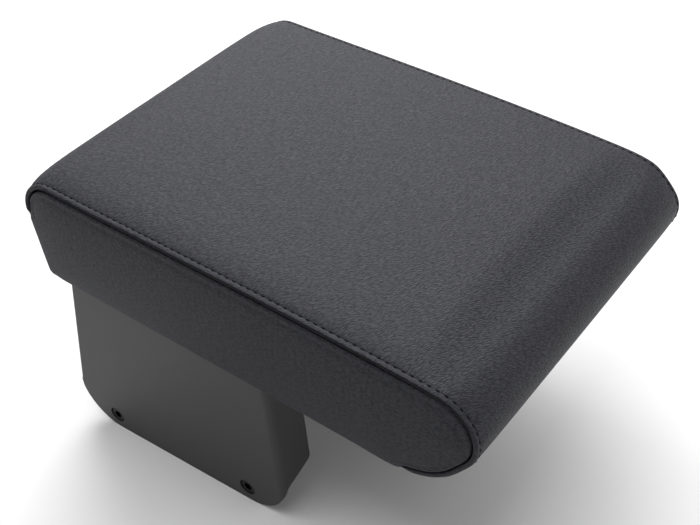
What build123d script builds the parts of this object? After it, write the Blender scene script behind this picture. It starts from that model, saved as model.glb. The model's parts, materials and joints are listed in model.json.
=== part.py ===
# Car centre armrest: a padded wedge-shaped lid on a moulded saddle that straddles a console.
# The lid flips up on a piano hinge along its rear edge. +X points to the lid's nose, +Z is up,
# and the origin is under the middle of the whole armrest, level with the saddle's feet.

import os
from math import cos, radians, sin, tan

from build123d import *

# Saddle, moulded in one piece
saddle_length = 171.0  # from the rear of the lower corner to the front wall
saddle_width = 217.0  # over the outer faces of the side plates
saddle_wall = 4.0
saddle_rear_lean = 12.3  # the rear wall leans forward as it rises, in degrees
foot_corner_radius = 30.0
saddle_front_edge_radius = 5.0  # outside corner between a side plate and the front wall
saddle_rear_edge_radius = 2.0  # the same corner at the rear
foot_rear_edge_radius = 1.0  # the same corner on the rear of a foot
return_depth = 26.0  # how far each end wall returns from the outer face of the side plate
return_height = 33.0  # lower edge of a return at its inner end
return_drop = 8.0  # how much lower the return meets the side plate
lintel_height = 88.0  # underside of the cross bar that joins the two returns
arch_corner_radius = 12.0
deck_opening_start = 44.0  # from the rear of the saddle, along the deck
deck_opening_length = 94.0
deck_opening_width = 140.0
deck_opening_radius = 12.0
rim_wall = 2.5
rim_depth = 7.0
gusset_wall = 2.5
gusset_leg = 22.0
gusset_stations = (34.0, 85.0, 148.0)  # from the rear of the saddle

# Screws that hold the saddle to a console
screw_spacing = 112.0
screw_rear_inset = 28.0  # rear screw, from the rear of the saddle
screw_height = 10.7
screw_thread_radius = 3.0
screw_thread_length = 12.0  # free end, past the washer
screw_neck_radius = 2.4  # waisted neck that the washer is snapped on
screw_play = 1.4  # how far a loose screw draws back before its thread meets the washer
screw_head_radius = 5.0
screw_head_height = 6.0
socket_across_flats = 5.0
socket_depth = 3.0
screw_clearance = 0.3
counterbore_radius = 5.7
counterbore_depth = 6.6
boss_radius = 9.0
boss_height = 8.0
washer_radius = 6.5
washer_thickness = 1.2
washer_clearance = 0.1

# Lid, in its own plane: along the underside from the rear edge, and square up from it
lid_rear_inset = 4.4  # rear lower edge, from the rear of the saddle
lid_seat_height = 122.3  # rear lower edge, above the feet
lid_tilt = 4.0  # the underside falls towards the nose, in degrees
lid_width = 221.0  # over the two side seams
lid_rear_thickness = 72.0
lid_top_fall = 0.8  # the top closes on the underside towards the nose, in degrees
lid_rear_lean = 8.5  # the rear end leans back as it rises, in degrees
lid_reach = 299.6  # from the rear lower edge to the tip of the nose
heel_radius = 24.0
nose_radius = 23.5
nose_undercut = 48.0  # slope under the nose, in degrees
underwrap_radius = 55.0
lower_edge_radius = 5.0

# Leather, foam and the moulded base inside the lid
leather = 1.6
seam_gap = 0.2
side_panel_recess = 0.6
underwrap = 14.0  # leather turned under the lid
pad_clearance = 0.1
base_inset = 10.0  # from the rear lower edge and from the start of the nose
base_side_inset = 10.0
base_height = 46.0
base_wall = 3.0
base_rib = 2.0
base_rib_depth = 18.0
base_ribs_along = 2
base_ribs_across = 3
base_boss_radius = 4.5
hinge_rail_height = 7.0
panel_gap = 0.5  # between the underside panel and the turned leather
panel_screw_rows = 2
panel_screw_radius = 1.75
panel_screw_head_radius = 3.2
panel_screw_length = 12.0
panel_screw_inset = 9.0

# Piano hinge
hinge_length = 150.0
hinge_knuckles = 5
knuckle_radius = 3.0
pin_radius = 1.5
pin_clearance = 0.05
pin_head_radius = 2.4
pin_head_length = 1.0
knuckle_gap = 0.4
hinge_leaf = 1.2
leaf_clearance = 0.05
upper_leaf_reach = 22.0
lower_leaf_reach = 20.0
hinge_screw_count = 4
hinge_screw_radius = 1.5
hinge_screw_head_radius = 2.6
upper_screw_length = 8.0
lower_screw_length = 7.5
hinge_pad_height = 4.0  # thickening behind the rear wall, where the lower screws bite
hinge_pad_width = 10.0
small_screw_sides = 8  # facets drawn round a small screw
small_head_land = 0.1  # straight rim of a countersunk head

# Rubber buffers that the lid rests on
deck_gap = 1.5  # between the deck and the underside of the lid
buffer_radius = 5.0
buffer_recess = 1.6
buffer_clearance = 0.1
buffer_side_inset = 22.0  # from the outer face of the side plate
buffer_front_inset = 13.0  # from the front wall

# Places worked out from the sizes above
tilt = radians(lid_tilt)
fall = radians(lid_top_fall)
lean = radians(saddle_rear_lean)
undercut = radians(nose_undercut)
nose_centre_u = lid_reach - nose_radius
nose_centre_v = lid_rear_thickness - nose_centre_u * tan(fall) - nose_radius / cos(fall)
overall_length = lid_rear_inset + nose_centre_u * cos(tilt) + nose_centre_v * sin(tilt) + nose_radius
saddle_rear = -overall_length / 2
saddle_front = saddle_rear + saddle_length
lid_rear = saddle_rear + lid_rear_inset
plate_half = saddle_width / 2
lid_half = lid_width / 2


def deck_height(x, below=0.0):
    """Height of the deck's upper face, or of a face that far below it, at a place along the saddle."""
    return lid_seat_height - (x - lid_rear) * tan(tilt) - (deck_gap + below) / cos(tilt)


def rear_wall_x(z, inside=0.0):
    """Place along the armrest of the rear wall's outer face, or of a face that far inside it."""
    return saddle_rear + (z - foot_corner_radius) * tan(lean) + inside / cos(lean)


def deck_rear_corner(below, inside):
    """Corner where the deck meets the rear wall, for faces that far below and inside the outer ones."""
    start = rear_wall_x(deck_height(saddle_rear, below), inside)
    x = saddle_rear + (start - saddle_rear) / (1 + tan(tilt) * tan(lean))
    return (x, deck_height(x, below))


# The lid's planes: its side section, and faces square to its height
lid_section_plane = Plane(
    origin=(lid_rear, 0, lid_seat_height), x_dir=(cos(tilt), 0, -sin(tilt)), z_dir=(0, -1, 0)
)
lid_under_plane = Plane(
    origin=(lid_rear, 0, lid_seat_height), x_dir=(cos(tilt), 0, -sin(tilt)), z_dir=(sin(tilt), 0, cos(tilt))
)

# Hinge axis: a knuckle's radius below the lid and behind the rear wall
axis_v = -(knuckle_radius + leaf_clearance)
axis_standoff = knuckle_radius + leaf_clearance
axis_u = (
    (lid_seat_height + axis_v * cos(tilt) - foot_corner_radius) * tan(lean)
    - axis_standoff / cos(lean)
    - lid_rear_inset
    - axis_v * sin(tilt)
) / (cos(tilt) + sin(tilt) * tan(lean))
axis_point = lid_section_plane.from_local_coords((axis_u, axis_v))
upper_leaf_plane = Plane(origin=axis_point, x_dir=lid_under_plane.x_dir, z_dir=lid_under_plane.z_dir)
lower_leaf_plane = Plane(
    origin=axis_point, x_dir=(-sin(lean), 0, -cos(lean)), z_dir=(cos(lean), 0, -sin(lean))
)
hinge_axis_plane = Plane(origin=axis_point, x_dir=(1, 0, 0), z_dir=(0, 1, 0))

# Lengths of the lid's inner pieces along the underside
nose_foot = nose_centre_u + nose_radius * sin(undercut)
nose_foot -= (nose_centre_v - nose_radius * cos(undercut)) / tan(undercut)
underside_front = nose_foot - underwrap_radius * tan(undercut / 2)
base_rear = base_inset
base_front = underside_front - base_inset / 2
base_half = lid_half - base_side_inset
panel_rear = underwrap + panel_gap
panel_front = underside_front - underwrap - panel_gap
panel_half = lid_half - side_panel_recess - underwrap - panel_gap
screw_grip = saddle_wall + boss_height - counterbore_depth
screw_neck_length = screw_grip + washer_thickness + screw_play
buffer_u = saddle_length - buffer_front_inset - lid_rear_inset

os.makedirs("parts", exist_ok=True)


def lid_section(inset=0.0):
    """The lid's side section, that far inside the seam line."""
    rear_slope = tan(radians(lid_rear_lean))
    heel_v = lid_rear_thickness / (1 - rear_slope * tan(fall))
    corner_u = (lid_rear_thickness + nose_foot * tan(undercut)) / (tan(undercut) + tan(fall))
    corner_v = (corner_u - nose_foot) * tan(undercut)
    with BuildSketch(lid_section_plane) as section:
        with BuildLine():
            FilletPolyline(
                (0, 0),
                (-heel_v * rear_slope, heel_v),
                (corner_u, corner_v),
                (nose_foot, 0),
                radius=(lower_edge_radius, heel_radius, nose_radius, underwrap_radius),
                close=True,
            )
        make_face()
        if inset:
            offset(amount=-inset, mode=Mode.REPLACE)
    return section.sketch


def lid_box(u_from, u_to, half_width, v_from, v_to, mode=Mode.ADD):
    """A block in the lid, square to its underside and even about the middle."""
    with BuildSketch(lid_under_plane.offset(v_from)) as block:
        with Locations(((u_from + u_to) / 2, 0)):
            Rectangle(u_to - u_from, 2 * half_width)
    extrude(block.sketch, amount=v_to - v_from, mode=mode)


def screw_places(side):
    """Planes of the two console screws on one side plate, facing outwards."""
    rear_x = saddle_rear + screw_rear_inset
    return [
        Plane(origin=(x, side * plate_half, screw_height), x_dir=(1, 0, 0), z_dir=(0, side, 0))
        for x in (rear_x, rear_x + screw_spacing)
    ]


def hinge_screw_reach(leaf_reach):
    """Distance of a leaf's screws from the hinge axis, in the middle of its flat."""
    return (leaf_reach + knuckle_radius) / 2


def hinge_screw_places(leaf_reach):
    """Places of a leaf's screws on its plane, evenly along the hinge."""
    pitch = hinge_length / hinge_screw_count
    first = -pitch * (hinge_screw_count - 1) / 2
    return [(hinge_screw_reach(leaf_reach), first + index * pitch) for index in range(hinge_screw_count)]


def countersunk(head_plane, places, head_radius, shank_radius, length):
    """Screws with flat heads level with the plane, pointing along its normal."""
    head_drop = (head_radius - shank_radius) * cos(radians(180 / small_screw_sides))
    with BuildSketch(head_plane) as heads:
        with Locations(*places):
            RegularPolygon(head_radius, small_screw_sides)
    extrude(heads.sketch, amount=small_head_land + head_drop)
    tips = faces().sort_by(Axis(head_plane.origin, head_plane.z_dir))[-len(places):]
    chamfer(tips.edges(), length=head_drop)
    with BuildSketch(head_plane) as shanks:
        with Locations(*places):
            RegularPolygon(shank_radius, small_screw_sides)
    extrude(shanks.sketch, amount=length)


# Small screws of the hinge and of the underside panel, which cut their own holes further on
with BuildPart() as hinge_screws_lower:
    countersunk(
        lower_leaf_plane.offset(axis_standoff - hinge_leaf),
        hinge_screw_places(lower_leaf_reach),
        hinge_screw_head_radius,
        hinge_screw_radius,
        lower_screw_length,
    )
hinge_screws_lower.part.label = "hinge_screws_lower"
export_step(hinge_screws_lower.part, "parts/hinge_screws_lower.step")

with BuildPart() as hinge_screws_upper:
    countersunk(
        upper_leaf_plane.offset(axis_standoff - leaf_clearance - hinge_leaf),
        hinge_screw_places(upper_leaf_reach),
        hinge_screw_head_radius,
        hinge_screw_radius,
        upper_screw_length,
    )
hinge_screws_upper.part.label = "hinge_screws_upper"
export_step(hinge_screws_upper.part, "parts/hinge_screws_upper.step")

panel_screw_half = panel_half - panel_screw_inset
panel_screw_first = panel_rear + upper_leaf_reach + panel_screw_inset
panel_screw_last = panel_front - panel_screw_inset
panel_screw_pitch = (panel_screw_last - panel_screw_first) / (panel_screw_rows - 1)
panel_screw_places = [
    (panel_screw_first + row * panel_screw_pitch, side * panel_screw_half)
    for row in range(panel_screw_rows)
    for side in (-1, 1)
]
with BuildPart() as underside_screws:
    countersunk(
        lid_under_plane,
        panel_screw_places,
        panel_screw_head_radius,
        panel_screw_radius,
        panel_screw_length,
    )
underside_screws.part.label = "underside_screws"
export_step(underside_screws.part, "parts/underside_screws.step")

# Saddle support: deck, side plates and end walls as one hollow moulding, open below
with BuildPart() as support_shell:
    hood_top_rear = deck_rear_corner(0, 0)
    with BuildSketch(Plane.XZ):
        Polygon(
            (saddle_rear, foot_corner_radius),
            (saddle_front, foot_corner_radius),
            (saddle_front, deck_height(saddle_front)),
            hood_top_rear,
            align=None,
        )
    extrude(amount=plate_half, both=True)
    saddle_middle = (saddle_rear + saddle_front) / 2
    for at_front, corner_radius in ((False, saddle_rear_edge_radius), (True, saddle_front_edge_radius)):
        corner_edges = [
            edge
            for edge in support_shell.edges().filter_by(GeomType.LINE)
            if abs((edge @ 0).Z - (edge @ 1).Z) > foot_corner_radius
            and (edge.center().X > saddle_middle) == at_front
        ]
        fillet(corner_edges, radius=corner_radius)
    # Feet of the side plates, rounded at both ends and at the outside corners
    with BuildSketch(Plane.XY) as feet:
        with Locations((saddle_middle, 0)):
            Rectangle(saddle_length, saddle_width)
        fillet(feet.vertices().group_by(Axis.X)[-1], radius=saddle_front_edge_radius)
        fillet(feet.vertices().group_by(Axis.X)[0], radius=foot_rear_edge_radius)
    extrude(amount=foot_corner_radius)
    for end, inward in ((saddle_rear, 1), (saddle_front, -1)):
        with BuildSketch(Plane.XZ):
            with Locations((end + inward * foot_corner_radius / 2, foot_corner_radius / 2)):
                Rectangle(foot_corner_radius, foot_corner_radius)
            with Locations((end + inward * foot_corner_radius, foot_corner_radius)):
                Circle(foot_corner_radius, mode=Mode.SUBTRACT)
        extrude(amount=saddle_width, both=True, mode=Mode.SUBTRACT)
    # Hollow under the deck
    with BuildSketch(Plane.XZ):
        Polygon(
            (rear_wall_x(0, saddle_wall), 0),
            (saddle_front - saddle_wall, 0),
            (saddle_front - saddle_wall, deck_height(saddle_front - saddle_wall, saddle_wall)),
            deck_rear_corner(saddle_wall, saddle_wall),
            align=None,
        )
    extrude(amount=plate_half - saddle_wall, both=True, mode=Mode.SUBTRACT)
    # Arches through the end walls leave a return at each side and a cross bar under the deck
    plate_inside = plate_half - saddle_wall
    arch_half = plate_half - return_depth
    arch_radii = (0, saddle_wall, saddle_wall, arch_corner_radius)
    with BuildSketch(Plane.YZ.offset(saddle_rear - saddle_wall)):
        with BuildLine():
            FilletPolyline(
                (-plate_inside, -saddle_wall),
                (-plate_inside, return_height - return_drop),
                (-arch_half, return_height),
                (-arch_half, lintel_height),
                (arch_half, lintel_height),
                (arch_half, return_height),
                (plate_inside, return_height - return_drop),
                (plate_inside, -saddle_wall),
                radius=arch_radii + arch_radii[::-1],
                close=True,
            )
        make_face()
    extrude(amount=saddle_length + 2 * saddle_wall, mode=Mode.SUBTRACT)
    # Way through the deck, with a stiffening rim below it
    deck_plane = lid_under_plane.offset(-deck_gap)
    opening_middle = deck_opening_start - lid_rear_inset + deck_opening_length / 2
    with BuildSketch(deck_plane):
        with Locations((opening_middle, 0)):
            RectangleRounded(
                deck_opening_length + 2 * rim_wall,
                deck_opening_width + 2 * rim_wall,
                deck_opening_radius + rim_wall,
            )
    extrude(amount=-(saddle_wall + rim_depth))
    with BuildSketch(deck_plane):
        with Locations((opening_middle, 0)):
            RectangleRounded(deck_opening_length, deck_opening_width, deck_opening_radius)
    extrude(amount=-(saddle_wall + rim_depth), mode=Mode.SUBTRACT)
    # Gussets between the deck and the side plates
    for station in gusset_stations:
        gusset_x = saddle_rear + station
        gusset_top = deck_height(gusset_x, saddle_wall / 2)
        for side in (-1, 1):
            with BuildSketch(Plane.YZ.offset(gusset_x)):
                Polygon(
                    (side * (plate_half - saddle_wall / 2), gusset_top),
                    (side * (plate_half - saddle_wall - gusset_leg), gusset_top),
                    (side * (plate_half - saddle_wall - gusset_leg), gusset_top - saddle_wall),
                    (side * (plate_half - saddle_wall), gusset_top - saddle_wall - gusset_leg),
                    (side * (plate_half - saddle_wall / 2), gusset_top - saddle_wall - gusset_leg),
                    align=None,
                )
            extrude(amount=gusset_wall / 2, both=True)
    # Bosses and counterbored holes for the console screws
    for side in (-1, 1):
        for place in screw_places(side):
            with BuildSketch(place.offset(-saddle_wall / 2)):
                Circle(boss_radius)
            extrude(amount=-(saddle_wall / 2 + boss_height))
            with Locations(place):
                CounterBoreHole(
                    screw_thread_radius + screw_clearance,
                    counterbore_radius,
                    counterbore_depth,
                    saddle_wall + boss_height,
                )
    # Pad behind the rear wall for the hinge screws
    with BuildSketch(lower_leaf_plane.offset(axis_standoff + saddle_wall / 2)):
        with Locations((hinge_screw_reach(lower_leaf_reach), 0)):
            Rectangle(hinge_pad_width, hinge_length)
    extrude(amount=saddle_wall / 2 + hinge_pad_height)
    add(hinge_screws_lower.part, mode=Mode.SUBTRACT)
    # Recesses for the buffers
    with BuildSketch(deck_plane):
        with Locations((buffer_u, 0)):
            with GridLocations(0, 2 * (plate_half - buffer_side_inset), 1, 2):
                Circle(buffer_radius)
    extrude(amount=-buffer_recess, mode=Mode.SUBTRACT)
support_shell.part.label = "support_shell"
export_step(support_shell.part, "parts/support_shell.step")

# Rubber buffers, pressed into the deck
with BuildPart() as lid_buffers:
    buffer_height = buffer_recess + deck_gap - buffer_clearance
    with BuildSketch(lid_under_plane.offset(-deck_gap - buffer_recess)):
        with Locations((buffer_u, 0)):
            with GridLocations(0, 2 * (plate_half - buffer_side_inset), 1, 2):
                Circle(buffer_radius)
    extrude(amount=buffer_height)
    top_rims = lid_buffers.faces().group_by(lid_under_plane.location.z_axis)[-1].edges()
    chamfer(top_rims, length=(deck_gap - buffer_clearance) / 2)
lid_buffers.part.label = "lid_buffers"
export_step(lid_buffers.part, "parts/lid_buffers.step")

# Console screws with a hexagon socket, and the washers that keep them in the saddle
for side, side_name in ((-1, "right"), (1, "left")):
    with BuildPart() as console_screws:
        for place in screw_places(side):
            with BuildSketch(place.offset(-counterbore_depth)):
                Circle(screw_head_radius)
            extrude(amount=screw_head_height)
            with BuildSketch(place.offset(-counterbore_depth)):
                Circle(screw_neck_radius)
            extrude(amount=-screw_neck_length)
            with BuildSketch(place.offset(-counterbore_depth - screw_neck_length)):
                Circle(screw_thread_radius)
            extrude(amount=-screw_thread_length)
            with BuildSketch(place.offset(screw_head_height - counterbore_depth)):
                RegularPolygon(socket_across_flats / 2, 6, major_radius=False)
            extrude(amount=-socket_depth, mode=Mode.SUBTRACT)
        console_screws.part.label = "console_screws_" + side_name
    export_step(console_screws.part, "parts/console_screws_" + side_name + ".step")

    with BuildPart() as retaining_washers:
        for place in screw_places(side):
            with BuildSketch(place.offset(-saddle_wall - boss_height)):
                Circle(washer_radius)
                Circle(screw_neck_radius + washer_clearance, mode=Mode.SUBTRACT)
            extrude(amount=-washer_thickness)
        retaining_washers.part.label = "retaining_washers_" + side_name
    export_step(retaining_washers.part, "parts/retaining_washers_" + side_name + ".step")

# Piano hinge: knuckles take turns along the pin, odd ones on the lower leaf
knuckle_pitch = hinge_length / hinge_knuckles


def knuckle_places(first):
    """Planes at the near end of every second knuckle."""
    start = -hinge_length / 2
    return [
        hinge_axis_plane.offset(start + index * knuckle_pitch + knuckle_gap / 2)
        for index in range(first, hinge_knuckles, 2)
    ]


def hinge_leaf_solid(leaf_plane, offset_from_axis, reach, first):
    """One leaf: a plate on its plane, cut away between its own rolled knuckles."""
    with BuildSketch(leaf_plane.offset(offset_from_axis)) as plate:
        with Locations((reach / 2, 0)):
            Rectangle(reach, hinge_length)
    extrude(plate.sketch, amount=hinge_leaf)
    other = 1 - first
    for place in knuckle_places(other):
        with BuildSketch(place.offset(-knuckle_gap)) as notch:
            Circle(knuckle_radius + knuckle_gap)
        extrude(notch.sketch, amount=knuckle_pitch + knuckle_gap, mode=Mode.SUBTRACT)
    for place in knuckle_places(first):
        with BuildSketch(place) as barrel:
            Circle(knuckle_radius)
        extrude(barrel.sketch, amount=knuckle_pitch - knuckle_gap)
        with BuildSketch(place) as bore:
            Circle(pin_radius + pin_clearance)
        extrude(bore.sketch, amount=knuckle_pitch - knuckle_gap, mode=Mode.SUBTRACT)


with BuildPart() as hinge_leaf_lower:
    hinge_leaf_solid(lower_leaf_plane, axis_standoff - hinge_leaf, lower_leaf_reach, 0)
    add(hinge_screws_lower.part, mode=Mode.SUBTRACT)
hinge_leaf_lower.part.label = "hinge_leaf_lower"
export_step(hinge_leaf_lower.part, "parts/hinge_leaf_lower.step")

with BuildPart() as hinge_leaf_upper:
    hinge_leaf_solid(upper_leaf_plane, axis_standoff - leaf_clearance - hinge_leaf, upper_leaf_reach, 1)
    add(hinge_screws_upper.part, mode=Mode.SUBTRACT)
hinge_leaf_upper.part.label = "hinge_leaf_upper"
export_step(hinge_leaf_upper.part, "parts/hinge_leaf_upper.step")

with BuildPart() as hinge_pin:
    with BuildSketch(hinge_axis_plane):
        Circle(pin_radius)
    extrude(amount=hinge_length / 2, both=True)
    for end in (-1, 1):
        with BuildSketch(hinge_axis_plane.offset(end * hinge_length / 2)):
            Circle(pin_head_radius)
        extrude(amount=end * pin_head_length)
hinge_pin.part.label = "hinge_pin"
export_step(hinge_pin.part, "parts/hinge_pin.step")

# Lid base: a deep moulded pan, open below, with ribs, screw bosses and a rail for the hinge
with BuildPart() as lid_base:
    base_top = leather + base_height
    lid_box(base_rear, base_front, base_half, leather, base_top)
    fillet(lid_base.edges().filter_by(lid_under_plane.location.z_axis), radius=base_inset / 2)
    lid_box(
        base_rear + base_wall,
        base_front - base_wall,
        base_half - base_wall,
        leather,
        base_top - base_wall,
        mode=Mode.SUBTRACT,
    )
    for rib in range(base_ribs_along):
        rib_y = base_half * (2 * (rib + 1) / (base_ribs_along + 1) - 1)
        with BuildSketch(lid_under_plane.offset(base_top - base_wall)):
            with Locations(((base_rear + base_front) / 2, rib_y)):
                Rectangle(base_front - base_rear - base_wall, base_rib)
        extrude(amount=-base_rib_depth)
    for rib in range(base_ribs_across):
        rib_u = base_rear + (base_front - base_rear) * (rib + 1) / (base_ribs_across + 1)
        with BuildSketch(lid_under_plane.offset(base_top - base_wall)):
            with Locations((rib_u, 0)):
                Rectangle(base_rib, 2 * base_half - base_wall)
        extrude(amount=-base_rib_depth)
    lid_box(
        base_rear,
        axis_u + upper_leaf_reach + base_wall,
        hinge_length / 2 + base_wall,
        leather,
        leather + hinge_rail_height,
    )
    with BuildSketch(lid_under_plane.offset(leather)):
        with Locations(*panel_screw_places):
            Circle(base_boss_radius)
    extrude(amount=base_height - base_wall)
    add(underside_screws.part, mode=Mode.SUBTRACT)
    add(hinge_screws_upper.part, mode=Mode.SUBTRACT)
lid_base.part.label = "lid_base"
export_step(lid_base.part, "parts/lid_base.step")

# Underside panel
with BuildPart() as underside_panel:
    lid_box(panel_rear, panel_front, panel_half, 0, leather)
    fillet(underside_panel.edges().filter_by(lid_under_plane.location.z_axis), radius=base_inset / 2)
    add(underside_screws.part, mode=Mode.SUBTRACT)
    add(hinge_screws_upper.part, mode=Mode.SUBTRACT)
underside_panel.part.label = "underside_panel"
export_step(underside_panel.part, "parts/underside_panel.step")

# Foam pad, moulded over the base
with BuildPart() as foam_pad:
    pad_half = lid_half - side_panel_recess - leather - pad_clearance
    extrude(lid_section(leather + pad_clearance), amount=pad_half, both=True)
    lid_box(
        base_rear - pad_clearance,
        base_front + pad_clearance,
        base_half + pad_clearance,
        0,
        leather + base_height + pad_clearance,
        mode=Mode.SUBTRACT,
    )
foam_pad.part.label = "foam_pad"
export_step(foam_pad.part, "parts/foam_pad.step")

# Leather top: one panel from under the nose, over the top and down the rear end
with BuildPart() as top_cover:
    extrude(lid_section(), amount=lid_half, both=True)
    extrude(lid_section(leather), amount=lid_half, both=True, mode=Mode.SUBTRACT)
    lid_box(underwrap, underside_front - underwrap, lid_half, 0, leather, mode=Mode.SUBTRACT)
top_cover.part.label = "top_cover"
export_step(top_cover.part, "parts/top_cover.step")

# Leather side panels, inside the seams and turned under the lid
side_outside = lid_half - side_panel_recess
for side, side_name in ((-1, "right"), (1, "left")):
    with BuildPart() as side_cover:
        extrude(lid_section(leather + seam_gap), amount=side_outside, both=True)
        cut_plane = lid_section_plane.offset(-side * (side_outside - leather))
        split(bisect_by=cut_plane, keep=Keep.BOTTOM if side > 0 else Keep.TOP)
        flap_length = underside_front - 2 * underwrap - 2 * panel_gap
        for depth, height in ((underwrap, leather), (leather, leather + 2 * seam_gap)):
            with BuildSketch(lid_under_plane):
                with Locations((underside_front / 2, side * (side_outside - depth / 2))):
                    Rectangle(flap_length, depth)
            extrude(amount=height)
        side_cover.part.label = "side_cover_" + side_name
    export_step(side_cover.part, "parts/side_cover_" + side_name + ".step")
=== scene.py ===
"""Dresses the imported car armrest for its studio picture: a sewn leather lid on a moulded saddle."""

import json
from math import acos, atan2, cos, pi, radians, sin, tan

import bmesh
import bpy
import numpy as np
from mathutils import Matrix, Vector


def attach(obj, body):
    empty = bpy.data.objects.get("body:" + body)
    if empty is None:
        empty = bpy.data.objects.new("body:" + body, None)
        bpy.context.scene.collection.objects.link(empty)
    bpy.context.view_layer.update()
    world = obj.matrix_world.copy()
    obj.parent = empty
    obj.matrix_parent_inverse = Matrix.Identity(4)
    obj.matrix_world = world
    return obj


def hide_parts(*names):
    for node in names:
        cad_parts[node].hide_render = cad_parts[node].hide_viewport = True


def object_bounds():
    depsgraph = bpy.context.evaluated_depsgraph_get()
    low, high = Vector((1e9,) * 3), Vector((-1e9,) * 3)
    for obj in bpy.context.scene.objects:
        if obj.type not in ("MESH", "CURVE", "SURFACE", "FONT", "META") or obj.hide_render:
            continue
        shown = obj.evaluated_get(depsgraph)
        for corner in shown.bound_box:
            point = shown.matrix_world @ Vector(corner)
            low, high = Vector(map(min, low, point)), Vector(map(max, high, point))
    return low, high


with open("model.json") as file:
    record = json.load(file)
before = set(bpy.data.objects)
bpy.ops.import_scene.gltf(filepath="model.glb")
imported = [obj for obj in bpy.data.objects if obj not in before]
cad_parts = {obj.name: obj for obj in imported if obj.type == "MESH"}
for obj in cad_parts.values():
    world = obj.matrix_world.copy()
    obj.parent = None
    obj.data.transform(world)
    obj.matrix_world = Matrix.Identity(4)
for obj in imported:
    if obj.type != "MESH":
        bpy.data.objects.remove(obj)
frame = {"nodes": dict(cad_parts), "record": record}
cad_low, cad_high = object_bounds()

MM = 0.001

# Lid section in millimetres: u runs along the underside from the rear lower edge, v square up from it
lid_rear = cad_low.x / MM + 4.4
lid_seat_height = 122.3
lid_half = cad_high.y / MM
lid_tilt = radians(4.0)
lid_rear_thickness = 72.0
lid_top_fall = radians(0.8)
lid_rear_lean = radians(8.5)
lid_reach = 299.6
heel_radius = 24.0
nose_radius = 23.5
nose_undercut = radians(48.0)
underwrap_radius = 55.0
lower_edge_radius = 5.0
underwrap = 14.0

# Sewing: the top panel is folded over at each side seam and stitched down beside the fold
fold_width = 2.9
fold_drop = 3.2
fold_end = 24.0
stitch_pitch = 4.7
stitch_length = 2.3
stitch_width = 1.0
side_recess = 0.3
seam_roll = 1.3
rear_roll = 1.9
hem_roll = 1.4

# Padding: how far the foam pushes the leather out, and how far the seams draw it in
top_arch = 1.6
top_arch_lean = 1.25
top_crown = 3.6
top_puff = 3.4
heel_crown = 1.4
nose_belly = 3.0
nose_seam_sink = 3.8
nose_seam_draw = 1.5
rear_seam_draw = 1.2
foam_inset = 8.0
side_crown = 2.0
side_pillow = 0.9

# Where a form is fullest round the nose or the heel, in degrees about its middle, and how far it spreads
belly_angle = -85.0
belly_spread = 45.0
sink_angle = 45.0
sink_spread = 45.0
heel_angle = 130.0
heel_spread = 60.0

# Steps of the meshes: points on an arc and on the section line, and the rest in millimetres
arc_points = 60
section_points = 1200
sewing_grid = 5.0
fold_step = 1.15
loop_step = 0.5

# Steps across a side panel, in cells of its sewing grid: fine at the edges and growing towards the middle
side_fine_step = 0.08
side_row_step = 0.35
side_column_step = 0.4
side_step_growth = 1.15

# The cloth run: its frames, the steps in each frame, and the pressure of the foam
pressing_frames = 20
pressing_steps = 6
foam_pressure = 4.0

# The hide: its wrinkles lie at this angle to the top panel's width, and run along the side panels
grain_lie = radians(30.0)

# Camera, from the photograph's vanishing lines
camera_place = Vector((345.5, -414.7, 555.0)) * MM
camera_turn = radians(40.26)
camera_drop = radians(39.10)
camera_roll = radians(-5.94)
camera_lens = 59.86


def linear(code):
    """An sRGB hex colour as linear RGBA."""
    parts = [int(code[index:index + 2], 16) / 255 for index in (1, 3, 5)]
    return [p / 12.92 if p <= 0.04045 else ((p + 0.055) / 1.055) ** 2.4 for p in parts] + [1.0]


def add_node(tree, kind, sockets=None, **settings):
    """Adds a node, sets its properties, and fills each named input with a value or a link."""
    node = tree.nodes.new(kind)
    for name, value in settings.items():
        setattr(node, name, value)
    for name, value in (sockets or {}).items():
        if isinstance(value, bpy.types.NodeSocket):
            tree.links.new(value, node.inputs[name])
        else:
            node.inputs[name].default_value = value
    return node


def new_material(name):
    """An empty material with its shader, ready for its pattern."""
    material = bpy.data.materials.new(name)
    material.use_nodes = True
    return material, material.node_tree, material.node_tree.nodes["Principled BSDF"]


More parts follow.
